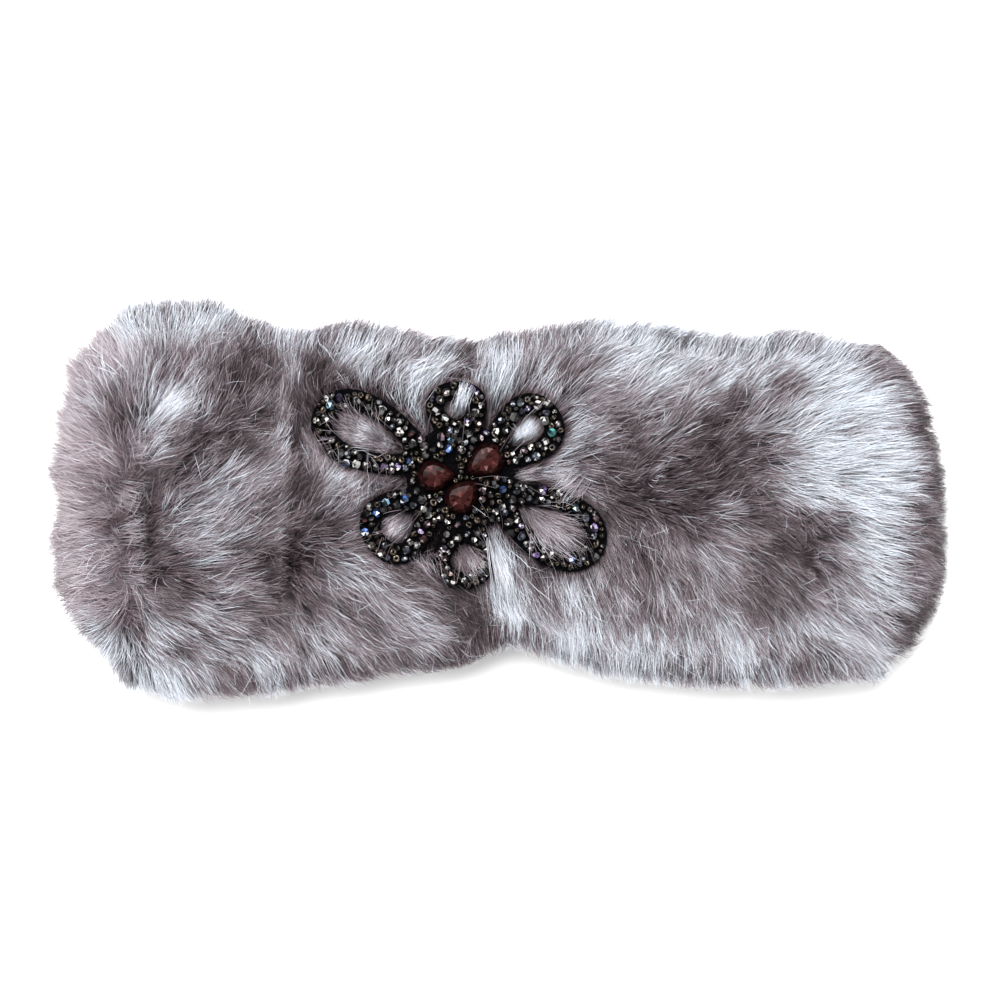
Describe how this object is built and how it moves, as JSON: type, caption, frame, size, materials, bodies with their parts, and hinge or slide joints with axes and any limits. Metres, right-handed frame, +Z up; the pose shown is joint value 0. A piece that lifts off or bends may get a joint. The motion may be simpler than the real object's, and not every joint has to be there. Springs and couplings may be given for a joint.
{
  "type": "fur ear warmer headband with a beaded flower brooch",
  "caption": "Soft loop of long-pile faux fur, lying flat, worn round the head over the ears, with a beaded six-loop flower brooch and pear crystals on its front.",
  "frame": {"origin": "middle of the underside, on the surface that the band lies on", "axes": "+X along the flattened loop from fold to fold, +Y across the band towards the edge that is uppermost when worn, +Z up out of the front with the brooch"},
  "size_m": [0.25, 0.1096, 0.033],
  "materials": {
    "fur": "long soft pile, mauve-grey at the roots and silver at the tips, with a silky sheen",
    "cloth": "short matte plush, brushed",
    "felt": "black wool felt, matte",
    "beads": "bronze, gunmetal and smoky glass beads, some with a blue or violet lustre",
    "crystal": "faceted burgundy crystal, polished"
  },
  "bodies": {
    "root": {"fur_pile": "fur", "cloth_loop": "cloth", "brooch_felt": "felt", "hub_beads": "beads", "petal_beads_upper_left": "beads", "petal_beads_top": "beads", "petal_beads_upper_right": "beads", "petal_beads_lower_right": "beads", "petal_beads_bottom": "beads", "petal_beads_lower_left": "beads", "crystal_left": "crystal", "crystal_right": "crystal", "crystal_lower": "crystal"}
  },
  "joints": []
}
